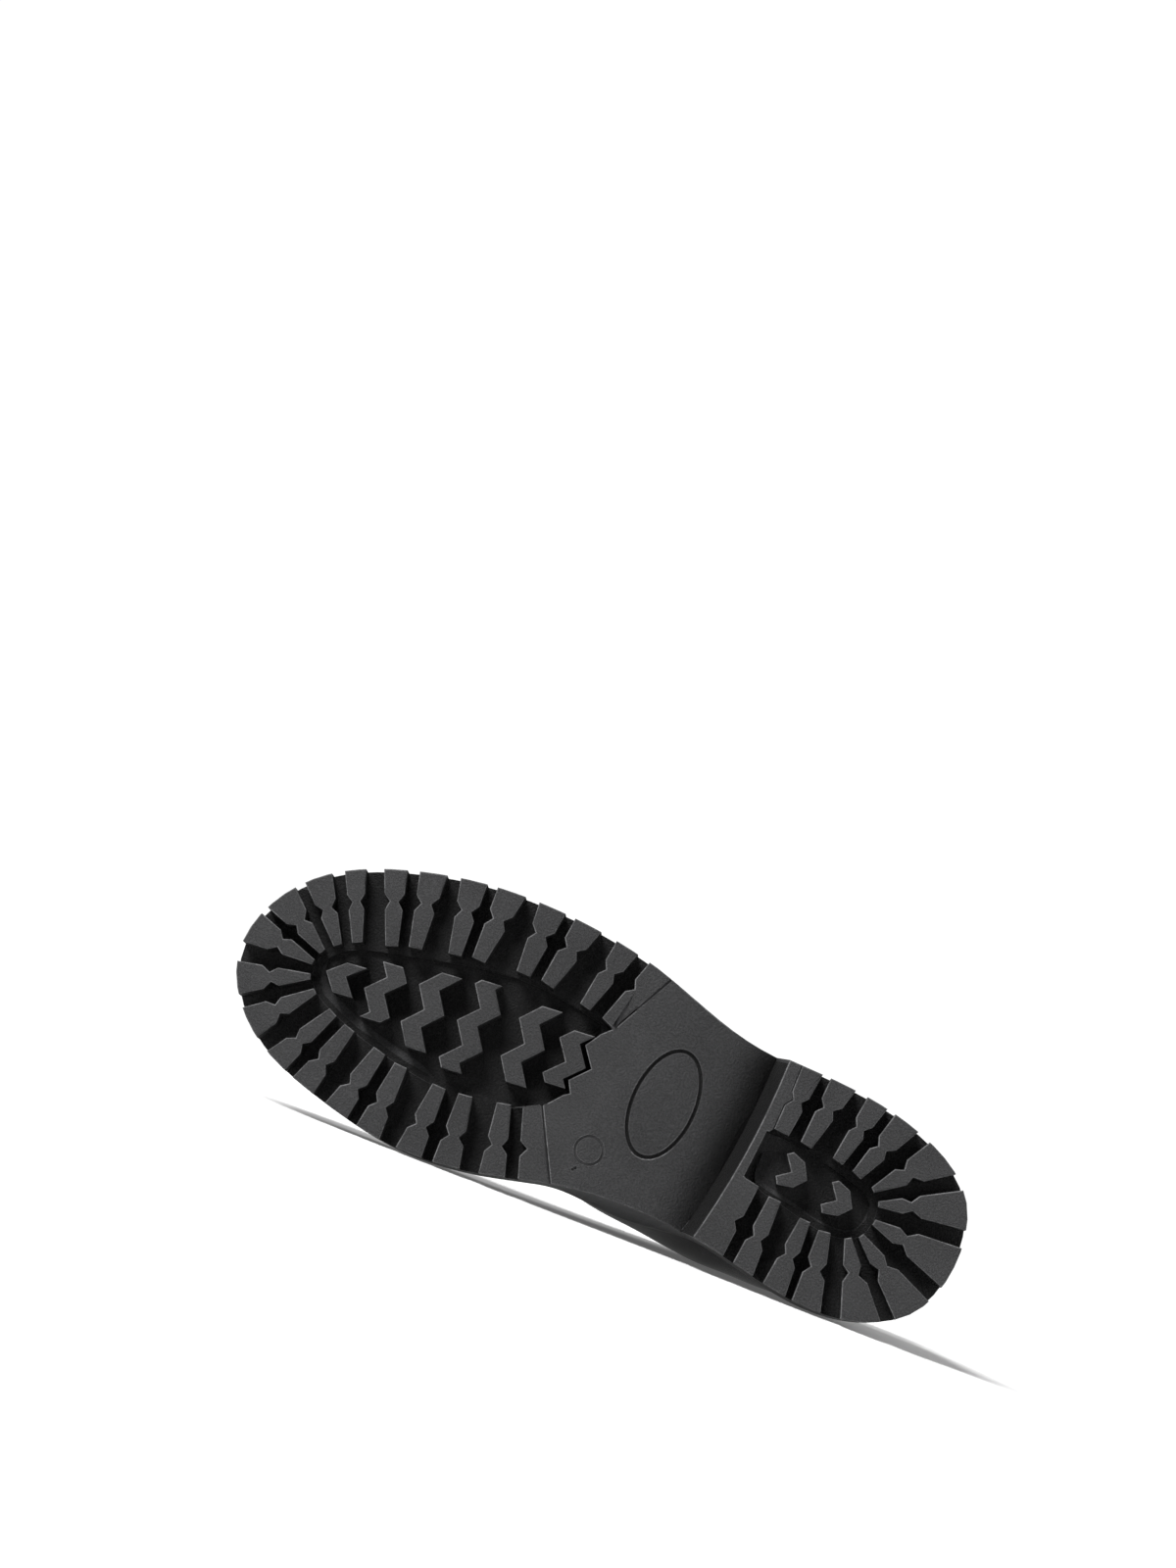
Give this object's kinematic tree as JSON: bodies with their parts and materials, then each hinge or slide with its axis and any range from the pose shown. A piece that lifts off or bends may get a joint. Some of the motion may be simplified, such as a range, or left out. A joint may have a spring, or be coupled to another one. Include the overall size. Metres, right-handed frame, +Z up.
{
  "type": "chukka boot",
  "caption": "Left lace-up ankle boot in black leather on a deep lugged rubber sole, lying on its medial side with its tread facing forward.",
  "frame": {"origin": "middle of the bounding box in X and Y, on the floor the boot lies on", "axes": "+X from toe to heel, -Y out of the tread, +Z up from the floor, which is the boot's lateral side"},
  "size_m": [0.3038, 0.1768, 0.11],
  "materials": {
    "sole_rubber": "matte, fine grained",
    "midsole_rubber": "matte, buffed",
    "upper_leather": "polished, smooth grain",
    "welt_leather": "satin",
    "lining_leather": "matte",
    "eyelet_metal": "satin black",
    "lace_cord": "woven, matte"
  },
  "bodies": {
    "root": {"outsole": "sole_rubber", "midsole": "midsole_rubber", "welt": "welt_leather", "insole": "lining_leather", "upper": "upper_leather", "tongue": "upper_leather", "eyelet_lateral_1": "eyelet_metal", "eyelet_lateral_2": "eyelet_metal", "eyelet_lateral_3": "eyelet_metal", "eyelet_lateral_4": "eyelet_metal", "eyelet_medial_1": "eyelet_metal", "eyelet_medial_2": "eyelet_metal", "eyelet_medial_3": "eyelet_metal", "eyelet_medial_4": "eyelet_metal", "lace_bar": "lace_cord", "lace_crossing_1": "lace_cord", "lace_crossing_2": "lace_cord", "lace_crossing_3": "lace_cord"}
  },
  "joints": []
}
